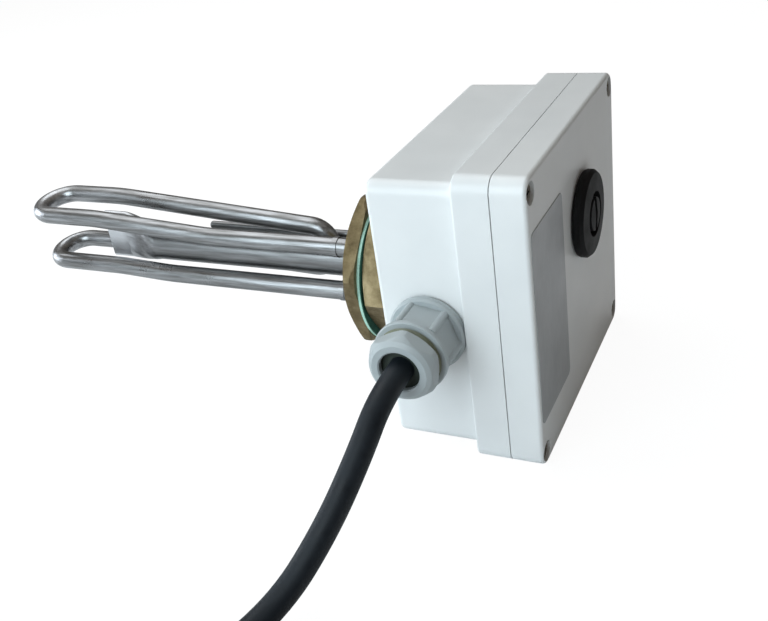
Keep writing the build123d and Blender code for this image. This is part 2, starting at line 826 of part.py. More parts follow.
# Coil: the outer shape of the put-away length, as wide as two turns and as high as two
outer_turn = coil_mean_radius + cord_radius
arrive_x = cord_points[-1][0] - cord_points[-2][0]
arrive_y = cord_points[-1][1] - cord_points[-2][1]
arrive_length = math.hypot(arrive_x, arrive_y)
coil_x = cord_points[-1][0] - arrive_y / arrive_length * outer_turn
coil_y = cord_points[-1][1] + arrive_x / arrive_length * outer_turn
coil_height = coil_layers * cord_diameter
with BuildPart() as cord_coil:
    with BuildSketch(Plane.XZ.offset(-coil_y)):
        with Locations((coil_x + coil_mean_radius, floor_z + floor_gap + coil_height / 2)):
            RectangleRounded(coil_height, coil_height, cord_radius * 0.95)
    revolve(axis=Axis((coil_x, coil_y, 0), (0, 0, 1)))
save(cord_coil, "cord_coil")

tie_x = coil_x + coil_mean_radius * math.cos(math.radians(tie_angle))
tie_y = coil_y + coil_mean_radius * math.sin(math.radians(tie_angle))
tie_tangent = (-math.sin(math.radians(tie_angle)), math.cos(math.radians(tie_angle)), 0)
with BuildPart() as cord_tie:
    tie_plane = Plane(
        origin=(tie_x, tie_y, floor_z + floor_gap + coil_height / 2),
        x_dir=(0, 0, 1),
        z_dir=tie_tangent,
    )
    with BuildSketch(tie_plane.offset(-tie_width / 2)):
        RectangleRounded(coil_height + 2 * tie_thickness, coil_height + 2.4 + 2 * tie_thickness, 4)
        RectangleRounded(coil_height + 0.1, coil_height + 2.4, 3, mode=Mode.SUBTRACT)
    extrude(amount=tie_width)
save(cord_tie, "cord_tie")

# Tail: from the coil's upper turn to the plug
leave_angle = math.atan2(cord_points[-1][1] - coil_y, cord_points[-1][0] - coil_x)
leave_angle += math.radians(coil_leave_angle)
leave_x = coil_x + outer_turn * math.cos(leave_angle)
leave_y = coil_y + outer_turn * math.sin(leave_angle)
leave_z = cord_z + cord_diameter
plug_z = floor_z + plug_radius
tail_points = [
    (leave_x, leave_y, leave_z),
    (leave_x + tail_run, leave_y + 2, leave_z + 0.4),
    (leave_x + 2 * tail_run, leave_y + 1, plug_z),
    (leave_x + 3 * tail_run, leave_y + 1, plug_z),
]
tail_radii = arc_radii(tail_points)
print("tail radii", [round(r, 1) for r in tail_radii])
with BuildPart() as cord_tail:
    with BuildLine() as tail_path:
        FilletPolyline(*tail_points, radius=tail_radii)
    with BuildSketch(cord_end(tail_points[0], (tail_run, 2, 0.4))):
        Circle(cord_radius)
    sweep()
save(cord_tail, "cord_tail")

# Mains plug: rubber body with a ribbed neck, two pins and two earth strips
plug_x = tail_points[-1][0]
plug_y = tail_points[-1][1]
plug_front = plug_x + plug_length


def plug_plane(x):
    """Plane square to the plug's axis at x."""
    return Plane(origin=(x, plug_y, plug_z), x_dir=(0, 1, 0), z_dir=(1, 0, 0))


with BuildPart() as plug_body:
    with BuildSketch(Plane(origin=(0, plug_y, plug_z))):
        with BuildLine():
            Polyline(
                (plug_x, 0),
                (plug_x, plug_neck_radius - 1),
                (plug_x + 18, plug_neck_radius + 1),
                (plug_front - plug_face_depth - 4, plug_radius - 3.5),
                (plug_front - plug_face_depth, plug_radius),
                (plug_front, plug_radius),
                (plug_front, 0),
                close=True,
            )
        make_face()
    revolve(axis=Axis((0, plug_y, plug_z), (1, 0, 0)))
    with BuildSketch(plug_plane(plug_front)):
        with Locations((0, plug_radius), (0, -plug_radius)):
            Rectangle(6, 5)
    extrude(amount=-plug_face_depth + 2, mode=Mode.SUBTRACT)
save(plug_body, "plug_body")

with BuildPart() as plug_pins:
    with BuildSketch(plug_plane(plug_front)):
        with Locations((-plug_pin_spacing / 2, 0), (plug_pin_spacing / 2, 0)):
            Circle(plug_pin_radius)
    extrude(amount=plug_pin_length)
    fillet(plug_pins.faces().group_by(Axis.X)[-1].edges(), plug_pin_tip)
save(plug_pins, "plug_pins")

with BuildPart() as plug_earth_strips:
    with BuildSketch(plug_plane(plug_front)):
        with Locations((0, plug_radius - 2), (0, -plug_radius + 2)):
            Rectangle(4.4, 1)
    extrude(amount=-plug_face_depth + 2)
save(plug_earth_strips, "plug_earth_strips")

# Earth screw and tag on the plug's inner face
with BuildPart() as earth_tag:
    with BuildSketch(across(spigot_end)):
        with Locations((earth_screw_y, 0)):
            Circle(earth_tag_radius)
        with Locations(((earth_screw_y + earth_tab_end) / 2, 0)):
            Rectangle(earth_screw_y - earth_tab_end, earth_tab_width)
        with Locations((earth_screw_y, 0)):
            Circle(earth_screw_radius + fit_gap, mode=Mode.SUBTRACT)
    extrude(amount=earth_tag_thickness)
save(earth_tag, "earth_tag")

with BuildPart() as earth_screw:
    with BuildSketch(across(spigot_end + earth_tag_thickness)):
        with Locations((earth_screw_y, 0)):
            Circle(earth_screw_head)
    extrude(amount=2.4)
    with BuildSketch(across(spigot_end + earth_tag_thickness)):
        with Locations((earth_screw_y, 0)):
            Circle(earth_screw_radius)
    extrude(amount=-earth_screw_length)
save(earth_screw, "earth_screw")

# Wires in the box: three cores from the cable's end, and the switched lead to the upper pin
cable_end_y = box_side_y - strip_point
pin_tip = cold_end + pin_length
thermostat_side = knob_y - thermostat_width / 2
core_turn_y = cable_end_y + 9
wire_routes = {
    "live_core": [
        (gland_x - 1.9, cable_end_y, gland_z + 1.2),
        (gland_x - 1.9, core_turn_y, gland_z + 1.2),
        (thermostat_back + 8, core_turn_y + 5, knob_centre_z),
        (thermostat_back + 8, thermostat_side, knob_centre_z),
    ],
    "neutral_core": [
        (gland_x + 1.9, cable_end_y, gland_z + 1.2),
        (gland_x + 1.9, core_turn_y, gland_z + 1.2),
        (pin_tip + 6, core_turn_y + 8, -6),
        (pin_tip + 6, -leg_y, -leg_z),
        (pin_tip, -leg_y, -leg_z),
    ],
    "earth_core": [
        (gland_x, cable_end_y, gland_z - 2.1),
        (gland_x, core_turn_y - 2, gland_z - 2.1),
        (gland_x, earth_tab_end + 3, 0),
        (spigot_end + earth_tag_thickness, earth_tab_end + 3, 0),
    ],
    "switched_lead": [
        (pin_tip, -leg_y, leg_z),
        (pin_tip + 3.4, -leg_y, leg_z),
        (pin_tip + 3.4, thermostat_side - 9, leg_z + 4),
        (thermostat_back + 6, thermostat_side - 9, leg_z + 7),
        (thermostat_back + 6, thermostat_side, leg_z + 7),
    ],
}
for wire_name, route in wire_routes.items():
    with BuildPart() as wire:
        with BuildLine():
            FilletPolyline(*route, radius=wire_bend)
        with BuildSketch(cord_end(route[0], Vector(*route[1]) - Vector(*route[0]))):
            Circle(wire_radius)
        sweep()
    save(wire, wire_name)
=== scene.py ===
# %% [markdown]
# # A screw-in immersion heater
#
# This heater warms water in a tank. A brass plug screws into the tank wall, a folded steel tube
# heats the water, and a white box on the plug's outer end holds the thermostat. The solids come
# from the frame, so this lesson spends its time on light, finishes and what the solid model gives
# only roughly or not at all: the thread, the nuts, the cable gland, the bare rating plate and the
# supply cord.

import math

import bmesh
import bpy
from mathutils import Matrix, Vector


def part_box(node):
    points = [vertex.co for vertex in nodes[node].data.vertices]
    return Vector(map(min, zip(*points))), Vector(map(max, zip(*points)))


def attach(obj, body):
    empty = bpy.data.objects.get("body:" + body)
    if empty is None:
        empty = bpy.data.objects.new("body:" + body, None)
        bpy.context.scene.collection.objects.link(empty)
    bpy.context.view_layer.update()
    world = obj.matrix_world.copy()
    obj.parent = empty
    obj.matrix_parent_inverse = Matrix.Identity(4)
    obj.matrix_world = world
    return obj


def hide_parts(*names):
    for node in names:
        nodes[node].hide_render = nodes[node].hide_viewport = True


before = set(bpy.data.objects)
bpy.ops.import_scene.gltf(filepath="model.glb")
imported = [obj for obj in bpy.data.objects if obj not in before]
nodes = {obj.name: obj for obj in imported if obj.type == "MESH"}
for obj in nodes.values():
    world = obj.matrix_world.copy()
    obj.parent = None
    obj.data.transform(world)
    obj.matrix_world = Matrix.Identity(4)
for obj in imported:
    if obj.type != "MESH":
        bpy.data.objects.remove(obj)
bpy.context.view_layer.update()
print("nodes in the frame:", len(nodes))

# %% [markdown]
# ## The camera
#
# A camera could be aimed by eye until the picture fits. Here the place and the axes were worked
# out from the box's edges, whose real sizes are known, so they are written down as numbers. The
# lens follows from the same working: its length in pixels becomes millimetres on a 36 mm sensor.

# %% Camera
IMAGE_WIDTH = 768
FOCAL_PIXELS = 967.4
SENSOR_WIDTH = 36.0
NEAREST_SEEN = 0.01
camera_place = Vector((0.18038, -0.34217, 0.19149))
camera_right = Vector((0.90153, 0.41149, -0.13384))
camera_up = Vector((-0.09756, 0.49463, 0.86361))

camera_data = bpy.data.cameras.new("photo_camera")
camera_data.sensor_width = SENSOR_WIDTH
camera_data.lens = FOCAL_PIXELS / IMAGE_WIDTH * SENSOR_WIDTH
camera_data.clip_start = NEAREST_SEEN
camera = bpy.data.objects.new("photo_camera", camera_data)
bpy.context.collection.objects.link(camera)
camera_axes = Matrix((camera_right, camera_up, camera_right.cross(camera_up))).transposed()
camera.matrix_world = Matrix.Translation(camera_place) @ camera_axes.to_4x4()
bpy.context.scene.camera = camera
print("lens", round(camera_data.lens, 2), "mm")

# %% [markdown]
# ## Floor, lamps and world
#
# The heater rests on a pale floor. The floor's colour is nearly white, and a ray that comes
# straight from the camera sees it a little brighter, so it reads as paper while the heater keeps
# a soft shadow. Three large lamps give broad, soft reflections along the steel tubes, and a
# world that is white to the camera alone fills in the rest.

# %% Names for sizes taken from the frame
MM = 0.001
FLOOR_Z = -52.0 * MM
box_low, box_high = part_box("rear_box")
print("box from", [round(v / MM, 1) for v in box_low], "to", [round(v / MM, 1) for v in box_high])

# %% Floor
floor_mesh = bpy.data.meshes.new("floor")
FLOOR_HALF = 3.0
PAPER_COLOUR = (0.83, 0.84, 0.85)
PAPER_GLOW = 1.1
GLOW_SHARE = 0.85
corner_signs = [(-1, -1), (1, -1), (1, 1), (-1, 1)]
floor_corners = [(x * FLOOR_HALF, y * FLOOR_HALF, FLOOR_Z) for x, y in corner_signs]
floor_mesh.from_pydata(floor_corners, [], [(0, 1, 2, 3)])
floor = bpy.data.objects.new("floor", floor_mesh)
bpy.context.collection.objects.link(floor)


def paper_finish():
    """Pale paper that the camera sees nearly white."""
    material = bpy.data.materials.new("pale_paper")
    material.use_nodes = True
    tree = material.node_tree
    paper = tree.nodes["Principled BSDF"]
    paper.inputs["Base Color"].default_value = (*PAPER_COLOUR, 1)
    paper.inputs["Roughness"].default_value = 0.85
    paper.inputs["Specular IOR Level"].default_value = 0.2
    glow = tree.nodes.new("ShaderNodeEmission")
    glow.inputs["Color"].default_value = (1, 1, 1, 1)
    glow.inputs["Strength"].default_value = PAPER_GLOW
    rays = tree.nodes.new("ShaderNodeLightPath")
    share = tree.nodes.new("ShaderNodeMath")
    share.operation = "MULTIPLY"
    share.inputs[1].default_value = GLOW_SHARE
    mixer = tree.nodes.new("ShaderNodeMixShader")
    tree.links.new(rays.outputs["Is Camera Ray"], share.inputs[0])
    tree.links.new(share.outputs[0], mixer.inputs["Fac"])
    tree.links.new(paper.outputs["BSDF"], mixer.inputs[1])
    tree.links.new(glow.outputs["Emission"], mixer.inputs[2])
    tree.links.new(mixer.outputs["Shader"], tree.nodes["Material Output"].inputs["Surface"])
    return material


floor_mesh.materials.append(paper_finish())
print("floor at", FLOOR_Z / MM, "mm")

# %% Lamps


def soft_lamp(name, place, aim, size, watts, colour):
    """A square area lamp that points at a spot on the heater."""
    lamp_data = bpy.data.lights.new(name, "AREA")
    lamp_data.size = size
    lamp_data.energy = watts
    lamp_data.color = colour
    lamp = bpy.data.objects.new(name, lamp_data)
    bpy.context.collection.objects.link(lamp)
    lamp.location = place
    lamp.rotation_euler = (Vector(aim) - Vector(place)).to_track_quat("-Z", "Y").to_euler()


plug_seat = (0.0, 0.0, 0.0)
tube_ends = (-0.15, 0.0, 0.0)
lamps = {
    "window_lamp": ((-0.24, -0.88, 0.45), plug_seat, 0.8, 8.0, (0.80, 0.93, 1.0)),
    "top_lamp": ((-0.5, 0.25, 0.9), plug_seat, 0.9, 5.1, (0.92, 0.97, 1.0)),
    "left_lamp": ((-0.98, -0.2, 0.1), tube_ends, 0.6, 5.0, (0.84, 0.92, 1.0)),
}
for lamp_name, (place, aim, size, watts, colour) in lamps.items():
    soft_lamp(lamp_name, place, aim, size, watts, colour)

# %% World
# Each stop is a height, from straight down at 0 to straight up at 1, and a grey. The sky darkens
# towards the horizon, which draws the long dark lines along polished tubes.
SKY_STOPS = [(0.0, 0.30), (0.42, 0.34), (0.5, 0.16), (0.6, 0.28), (0.8, 0.75), (1.0, 0.85)]
SKY_STRENGTH = 0.27
SKY_WARMTH = 0.10


def studio_world():
    """White to the camera, softly graded for light and reflections."""
    world = bpy.data.worlds.new("studio")
    bpy.context.scene.world = world
    world.use_nodes = True
    tree = world.node_tree
    for node in list(tree.nodes):
        tree.nodes.remove(node)
    direction = tree.nodes.new("ShaderNodeTexCoord")
    split = tree.nodes.new("ShaderNodeSeparateXYZ")
    ramp = tree.nodes.new("ShaderNodeValToRGB")
    while len(ramp.color_ramp.elements) < len(SKY_STOPS):
        ramp.color_ramp.elements.new(0.5)
    for element, (position, grey) in zip(ramp.color_ramp.elements, SKY_STOPS):
        element.position = position
        element.color = (grey * (1 + SKY_WARMTH), grey, grey * (1 - SKY_WARMTH), 1)
    height = tree.nodes.new("ShaderNodeMapRange")
    height.inputs["From Min"].default_value = -1
    graded = tree.nodes.new("ShaderNodeBackground")
    graded.inputs["Strength"].default_value = SKY_STRENGTH
    white = tree.nodes.new("ShaderNodeBackground")
    white.inputs["Color"].default_value = (1, 1, 1, 1)
    white.inputs["Strength"].default_value = 1.0
    rays = tree.nodes.new("ShaderNodeLightPath")
    mixer = tree.nodes.new("ShaderNodeMixShader")
    output = tree.nodes.new("ShaderNodeOutputWorld")
    tree.links.new(direction.outputs["Generated"], split.inputs[0])
    tree.links.new(split.outputs["Z"], height.inputs["Value"])
    tree.links.new(height.outputs["Result"], ramp.inputs["Fac"])
    tree.links.new(ramp.outputs["Color"], graded.inputs["Color"])
    tree.links.new(rays.outputs["Is Camera Ray"], mixer.inputs["Fac"])
    tree.links.new(graded.outputs[0], mixer.inputs[1])
    tree.links.new(white.outputs[0], mixer.inputs[2])
    tree.links.new(mixer.outputs[0], output.inputs["Surface"])


studio_world()
bpy.context.scene.view_settings.view_transform = "Standard"
print("view transform:", bpy.context.scene.view_settings.view_transform)

# %% [markdown]
# ## Helpers for finishes
#
# Every finish starts with the same shader and the object's own coordinates, in metres. Noise at
# a stated size in millimetres then varies the colour, the roughness and the bump. A finish that
# is built from real sizes stays right when the camera moves closer. Colours are linear, and a
# pair or row of them runs from the darkest tone to the palest.

# %% Finish helpers


def new_finish(name, roughness, metallic=0.0, specular=0.5):
    """A material whose constant values sit on the shader's own sockets."""
    material = bpy.data.materials.new(name)
    material.use_nodes = True
    tree = material.node_tree
    shader = tree.nodes["Principled BSDF"]
    shader.inputs["Roughness"].default_value = roughness
    shader.inputs["Metallic"].default_value = metallic
    shader.inputs["Specular IOR Level"].default_value = specular
    place = tree.nodes.new("ShaderNodeTexCoord")
    return material, tree, shader, place.outputs["Object"]


def stretched(tree, place, scale):
    """The object's coordinates, scaled on each axis."""
    mapping = tree.nodes.new("ShaderNodeMapping")
    mapping.inputs["Scale"].default_value = scale
    tree.links.new(place, mapping.inputs["Vector"])
    return mapping.outputs["Vector"]


def noise_of(tree, place, millimetres, detail=4.0, rough=0.55):
    """Noise whose spots are about this many millimetres apart."""
    noise = tree.nodes.new("ShaderNodeTexNoise")
    noise.inputs["Scale"].default_value = 1000.0 / millimetres
    noise.inputs["Detail"].default_value = detail
    noise.inputs["Roughness"].default_value = rough
    tree.links.new(place, noise.inputs["Vector"])
    return noise.outputs["Fac"]


def ramp_of(tree, value, stops):
    """A colour ramp: stops are (position, colour) with linear colours."""
    ramp = tree.nodes.new("ShaderNodeValToRGB")
    while len(ramp.color_ramp.elements) < len(stops):
        ramp.color_ramp.elements.new(0.5)
    for element, (position, colour) in zip(ramp.color_ramp.elements, stops):
        element.position = position
        element.color = (*colour, 1)
    tree.links.new(value, ramp.inputs["Fac"])
    return ramp.outputs["Color"]


def range_of(tree, value, low, high, start=0.3, end=0.7):
    """The value, squeezed into low to high."""
    span = tree.nodes.new("ShaderNodeMapRange")
    span.inputs["From Min"].default_value = start
    span.inputs["From Max"].default_value = end
    span.inputs["To Min"].default_value = low
    span.inputs["To Max"].default_value = high
    tree.links.new(value, span.inputs["Value"])
    return span.outputs["Result"]


def bump_of(tree, shader, height, millimetres, strength=1.0, under=None):
    """Relief of this depth. Another relief can lie under it."""
    bump = tree.nodes.new("ShaderNodeBump")
    bump.inputs["Distance"].default_value = millimetres * MM
    bump.inputs["Strength"].default_value = strength
    tree.links.new(height, bump.inputs["Height"])
    if under is not None:
        tree.links.new(under, bump.inputs["Normal"])
    tree.links.new(bump.outputs["Normal"], shader.inputs["Normal"])
    return bump.outputs["Normal"]


def dress(material, *names):
    """Put one finish on these solids of the frame."""
    for name in names:
        solid = nodes[name]
        if not solid.material_slots:
            solid.data.materials.append(material)
        for material_slot in solid.material_slots:
            material_slot.material = material
    print(material.name, "on", ", ".join(names))


# %% [markdown]
# ## Moulded plastics
#
# The box is glossy white plastic with a very fine grain and a trace of cloudiness. Fine grain in
# the bump breaks up the highlights as a moulded surface does. The gland is a satin grey of the
# same kind, and the knob is a deep black that hardly shines.

# %% White box plastic


def moulded_plastic(name, tones, roughness, grain, depth, specular=0.5):
    """Moulded plastic: cloudy colour between two tones, fine grain of a stated size."""
    material, tree, shader, place = new_finish(name, roughness, specular=specular)
    clouds = noise_of(tree, place, 45.0, 3.0)
    colour = ramp_of(tree, clouds, [(0.3, tones[0]), (0.7, tones[1])])
    tree.links.new(colour, shader.inputs["Base Color"])
    wear = noise_of(tree, place, 9.0, 5.0)
    tree.links.new(range_of(tree, wear, roughness - 0.05, roughness + 0.07), shader.inputs["Roughness"])
    fine = noise_of(tree, place, grain, 2.0)
    bump_of(tree, shader, fine, depth)
    return material


white_tones = [(0.80, 0.815, 0.815), (0.86, 0.87, 0.865)]
white_plastic = moulded_plastic("white_plastic", white_tones, roughness=0.33, grain=0.8, depth=0.02)
dress(white_plastic, "rear_box", "lid")

# %% Grey, dark and black plastics
grey_tones = [(0.38, 0.42, 0.43), (0.43, 0.47, 0.48)]
grey_plastic = moulded_plastic("grey_plastic", grey_tones, roughness=0.42, grain=0.5, depth=0.02)
dress(grey_plastic, "gland_locknut")
dark_tones = [(0.035, 0.035, 0.038), (0.05, 0.05, 0.052)]
dark_plastic = moulded_plastic("dark_plastic", dark_tones, roughness=0.5, grain=0.6, depth=0.02)
dress(dark_plastic, "thermostat_body")
black_tones = [(0.004, 0.004, 0.0045), (0.007, 0.007, 0.008)]
knob_black = moulded_plastic("knob_black", black_tones, roughness=0.55, grain=0.45, depth=0.03, specular=0.18)
dress(knob_black, "thermostat_knob")

# %% Seals and the cord's tie
seal_tones = [(0.03, 0.04, 0.032), (0.045, 0.055, 0.045)]
seal_rubber = moulded_plastic("seal_rubber", seal_tones, roughness=0.7, grain=0.7, depth=0.03, specular=0.3)
dress(seal_rubber, "lid_seal", "box_seal", "gland_ring", "gland_insert")
tie_tones = [(0.015, 0.015, 0.016), (0.03, 0.03, 0.03)]
tie_black = moulded_plastic("tie_black", tie_tones, roughness=0.6, grain=1.2, depth=0.12, specular=0.3)
dress(tie_black, "cord_tie")

# %% Ceramic beads
ceramic_tones = [(0.70, 0.67, 0.60), (0.78, 0.76, 0.70)]
ceramic = moulded_plastic("ceramic", ceramic_tones, roughness=0.3, grain=0.4, depth=0.02)
dress(ceramic, "insulating_beads")

# %% [markdown]
# ## Polished steel tube
#
# The heating tube is stainless steel that was bent and then brightened in a bath. It mirrors the
# room in long streaks and is a little rougher in patches. The streaks run along the tube, so the
# noise is stretched along X. Near the hairpins' ends and the flat end of the thermostat's tube the
# colour fades to a paler steel: a painted highlight where the bends and the blade catch the light.

# %% Steel tubes
# A paler steel for the painted highlight near the tube ends, where the bends and the blade catch the light.
PAINTED_HIGHLIGHT_STEEL = (0.66, 0.67, 0.69)
ALONG_TUBE = 0.06
RIPPLE_ALONG = 0.35
STREAK_DEPTH = 0.04
RIPPLE_DEPTH = 0.10
pocket_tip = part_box("thermostat_pocket")[0][0]
hairpin_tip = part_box("heating_element")[0][0]
print("pocket tip at", round(pocket_tip / MM, 1), "hairpin tips at", round(hairpin_tip / MM, 1))


def drawn_steel(name, tones, roughness, highlight_span):
    """Drawn tube: streaks along X, cloudy roughness, a faint ripple and a painted highlight near the end."""
    material, tree, shader, place = new_finish(name, roughness, metallic=1.0)
    along = stretched(tree, place, (ALONG_TUBE, 1.0, 1.0))
    streaks = noise_of(tree, along, 1.4, 4.0)
    clouds = noise_of(tree, place, 22.0, 4.0)
    colour = ramp_of(tree, streaks, [(0.35, tones[0]), (0.5, tones[1]), (0.68, tones[2])])
    split = tree.nodes.new("ShaderNodeSeparateXYZ")
    tree.links.new(place, split.inputs[0])
    mix = tree.nodes.new("ShaderNodeMix")
    mix.data_type = "RGBA"
    # Towards the tube's end the colour fades to the paler steel: a painted highlight.
    mix.inputs["B"].default_value = (*PAINTED_HIGHLIGHT_STEEL, 1)
    tree.links.new(range_of(tree, split.outputs["X"], 1.0, 0.0, *highlight_span), mix.inputs["Factor"])
    tree.links.new(colour, mix.inputs["A"])
    tree.links.new(mix.outputs["Result"], shader.inputs["Base Color"])
    tree.links.new(range_of(tree, clouds, roughness - 0.06, roughness + 0.08), shader.inputs["Roughness"])
    ripple = noise_of(tree, stretched(tree, place, (RIPPLE_ALONG, 1.0, 1.0)), 6.0, 2.0)
    lower = bump_of(tree, shader, ripple, RIPPLE_DEPTH, 0.5)
    bump_of(tree, shader, streaks, STREAK_DEPTH, 0.6, lower)
    return material


steel_tones = [(0.20, 0.198, 0.195), (0.30, 0.30, 0.304), (0.42, 0.425, 0.435)]
# The spans in which the painted highlight fades in, measured from each tip.
hairpin_highlight = (hairpin_tip, hairpin_tip + 14 * MM)
stainless_sheath = drawn_steel("stainless_sheath", steel_tones, 0.31, hairpin_highlight)
dress(stainless_sheath, "heating_element", "sheath_collars")
pocket_tones = [(0.17, 0.167, 0.167), (0.22, 0.22, 0.22), (0.28, 0.28, 0.285)]
blade_highlight = (pocket_tip + 8 * MM, pocket_tip + 20 * MM)
stainless_tube = drawn_steel("stainless_tube", pocket_tones, 0.36, blade_highlight)
dress(stainless_tube, "thermostat_pocket", "limiter_pocket")

# %% [markdown]
# ## Brass, fibre and plated parts
#
# The plug and its backnut are forged brass: dull olive gold, stained by flux and handling, with
# turning marks on the faces. The marks are rings around the thread's axis, so their coordinate
# is the distance from that axis.

# %% Distance from the thread's axis


def radius_and_angle(tree, place):
    """Distance from the X axis in metres, and the angle round it in turns."""
    parts = tree.nodes.new("ShaderNodeSeparateXYZ")
    tree.links.new(place, parts.inputs[0])
    flat = tree.nodes.new("ShaderNodeCombineXYZ")
    tree.links.new(parts.outputs["Y"], flat.inputs["Y"])
    tree.links.new(parts.outputs["Z"], flat.inputs["Z"])
    length = tree.nodes.new("ShaderNodeVectorMath")
    length.operation = "LENGTH"
    tree.links.new(flat.outputs[0], length.inputs[0])
    angle = tree.nodes.new("ShaderNodeMath")
    angle.operation = "ARCTAN2"
    tree.links.new(parts.outputs["Z"], angle.inputs[0])
    tree.links.new(parts.outputs["Y"], angle.inputs[1])
    return parts.outputs["X"], length.outputs["Value"], angle.outputs[0]


def arithmetic(tree, operation, first, second):
    """One arithmetic step between values, or a value and a number."""
    step = tree.nodes.new("ShaderNodeMath")
    step.operation = operation
    for socket, value in zip(step.inputs, (first, second)):
        if isinstance(value, (int, float)):
            socket.default_value = value
        else:
            tree.links.new(value, socket)
    return step.outputs[0]


# %% Brass with a cut thread
THREAD_PITCH = 2.309 * MM
THREAD_START = -8.6 * MM
THREAD_WALL = 22.6 * MM
THREAD_DEPTH = 2.3
TURNING_STEP = 0.35 * MM


def forged_brass(name, threaded):
    """Dull brass with stains and turned rings; the free end of the plug also has its thread."""
    material, tree, shader, place = new_finish(name, 0.5, metallic=1.0)
    stains = noise_of(tree, place, 9.0, 8.0, 0.65)
    tones = [(0.30, (0.12, 0.090, 0.048)), (0.5, (0.21, 0.162, 0.088)), (0.72, (0.33, 0.262, 0.155))]
    tree.links.new(ramp_of(tree, stains, tones), shader.inputs["Base Color"])
    tree.links.new(range_of(tree, stains, 0.62, 0.46), shader.inputs["Roughness"])
    along, distance, angle = radius_and_angle(tree, place)
    ring_phase = arithmetic(tree, "MULTIPLY", distance, 2 * math.pi / TURNING_STEP)
    rings = arithmetic(tree, "SINE", ring_phase, 0.0)
    pits = noise_of(tree, place, 0.8, 4.0)
    lower = bump_of(tree, shader, rings, 0.006)
    lower = bump_of(tree, shader, pits, 0.12, 1.0, lower)
    if threaded:
        turns = arithmetic(tree, "DIVIDE", angle, 2 * math.pi)
        phase = arithmetic(tree, "SUBTRACT", arithmetic(tree, "DIVIDE", along, THREAD_PITCH), turns)
        wave = arithmetic(tree, "PINGPONG", phase, 0.5)
        before_nut = arithmetic(tree, "LESS_THAN", along, THREAD_START)
        on_wall = arithmetic(tree, "GREATER_THAN", distance, THREAD_WALL)
        ridge = arithmetic(tree, "MULTIPLY", arithmetic(tree, "MULTIPLY", wave, before_nut), on_wall)
        bump_of(tree, shader, ridge, THREAD_DEPTH, 1.0, lower)
    return material


dress(forged_brass("threaded_brass", True), "screw_plug")
plain_brass = forged_brass("plain_brass", False)
dress(plain_brass, "backnut", "spigot_nut", "earth_screw")

# %% Green fibre gasket
# It hangs loose on the thread, so its centre lies a little below the thread's axis.
gasket_low, gasket_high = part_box("fibre_gasket")
# The painted highlight on the rim lies on the side below this X.
LIT_RIM_UNTIL = -0.5 * MM
FADE_START = 0.5 * MM
FADE_END = 0.1 * MM
gasket_drop = -(gasket_low[2] + gasket_high[2]) / 2
gasket_radius = (gasket_high[2] - gasket_low[2]) / 2


def pressed_fibre():
    """Fibre board: dark green faces with short hairs, and a paler rim on the side of lower X as a painted
    highlight where the light falls.
    """
    material, tree, shader, place = new_finish("green_fibre", 0.75, specular=0.3)
    hairs = noise_of(tree, stretched(tree, place, (1.0, 0.25, 1.0)), 0.8, 6.0, 0.7)
    centred = tree.nodes.new("ShaderNodeVectorMath")
    centred.operation = "ADD"
    centred.inputs[1].default_value = (0, 0, gasket_drop)
    tree.links.new(place, centred.inputs[0])
    along, distance, _ = radius_and_angle(tree, centred.outputs["Vector"])
    rim = range_of(tree, distance, 0.0, 1.0, gasket_radius - FADE_START, gasket_radius - FADE_END)
    # Painted highlight: the rim on the side of lower X is painted pale green as if lit, and the faces keep
    # the dark green.
    edge = arithmetic(tree, "MULTIPLY", rim, arithmetic(tree, "LESS_THAN", along, LIT_RIM_UNTIL))
    face = ramp_of(tree, hairs, [(0.3, (0.010, 0.055, 0.035)), (0.7, (0.022, 0.095, 0.065))])
    # The paler tone below is the painted highlight of the lit rim.
    cut = ramp_of(tree, hairs, [(0.3, (0.32, 0.58, 0.46)), (0.7, (0.52, 0.76, 0.65))])
    mix = tree.nodes.new("ShaderNodeMix")
    mix.data_type = "RGBA"
    tree.links.new(edge, mix.inputs["Factor"])
    tree.links.new(face, mix.inputs["A"])
    tree.links.new(cut, mix.inputs["B"])
    tree.links.new(mix.outputs["Result"], shader.inputs["Base Color"])
    bump_of(tree, shader, hairs, 0.08)
    return material


dress(pressed_fibre(), "fibre_gasket")

# %% Plated steel, bronzed screws and copper


def plated_metal(name, tones, roughness):
    """Plated or bronzed metal with small specks and dull patches."""
    material, tree, shader, place = new_finish(name, roughness, metallic=1.0)
    specks = noise_of(tree, place, 2.5, 6.0)
    tree.links.new(ramp_of(tree, specks, [(0.3, tones[0]), (0.7, tones[1])]), shader.inputs["Base Color"])
    tree.links.new(range_of(tree, specks, roughness + 0.1, roughness - 0.05), shader.inputs["Roughness"])
    bump_of(tree, shader, noise_of(tree, place, 0.6, 2.0), 0.01)
    return material


plated_steel = plated_metal("plated_steel", [(0.48, 0.47, 0.44), (0.62, 0.61, 0.58)], 0.25)
dress(plated_steel, "spigot_washer", "terminal_pins", "thermostat_bracket", "thermostat_screws")
dress(plated_steel, "thermostat_spindle", "earth_tag", "plug_pins", "plug_earth_strips")
screw_bronze = plated_metal("screw_bronze", [(0.10, 0.08, 0.055), (0.20, 0.165, 0.12)], 0.4)
dress(screw_bronze, "lid_screws")
copper = plated_metal("copper", [(0.50, 0.24, 0.14), (0.66, 0.34, 0.22)], 0.3)
dress(copper, "thermostat_bulb", "limiter_bulb", "capillary", "limiter_capillary")

# %% Wires in the box
PALER = 1.3
core_colours = {
    "live_core": (0.16, 0.06, 0.025),
    "neutral_core": (0.02, 0.08, 0.30),
    "earth_core": (0.30, 0.34, 0.03),
    "switched_lead": (0.30, 0.02, 0.015),
}
for core, colour in core_colours.items():
    paler = tuple(channel * PALER for channel in colour)
    insulation = moulded_plastic(core + "_insulation", [colour, paler], roughness=0.4, grain=0.6, depth=0.02)
    dress(insulation, core)

